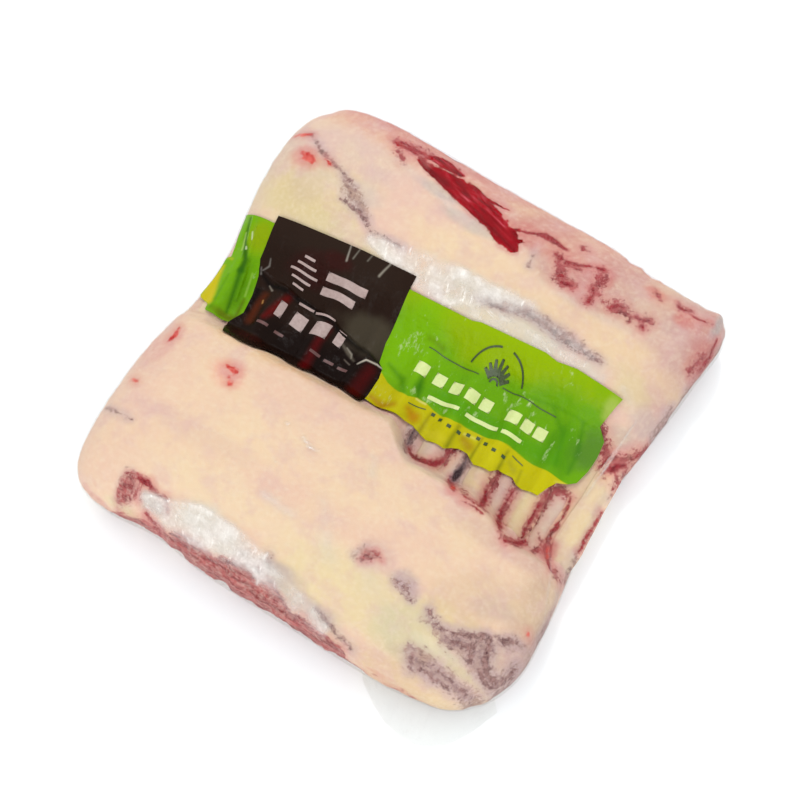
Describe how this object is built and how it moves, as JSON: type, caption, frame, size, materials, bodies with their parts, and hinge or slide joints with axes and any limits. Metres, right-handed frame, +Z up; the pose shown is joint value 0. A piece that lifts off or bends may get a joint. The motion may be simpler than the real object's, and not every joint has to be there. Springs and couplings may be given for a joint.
{
  "type": "vacuum-packed raw rack of lamb",
  "caption": "Raw frenched lamb racks with fat caps, laid rib to rib and vacuum packed in a clear shrink bag with a printed band across the ribs.",
  "frame": {"origin": "on the table under the middle of the pack's outline", "axes": "+Z up out of the table, +X along the racks' backbone edges, +Y across both racks towards the back one"},
  "size_m": [0.2474, 0.2542, 0.0498],
  "materials": {
    "lamb_in_clear_film": "clear skin-tight film over raw lamb fat, glossy with small glints",
    "printed_film": "printed film, a dark brown square panel and a green panel with a yellow edge, satin gloss"
  },
  "bodies": {
    "root": {"vacuum_bag": "lamb_in_clear_film", "printed_band": "printed_film"}
  },
  "joints": []
}
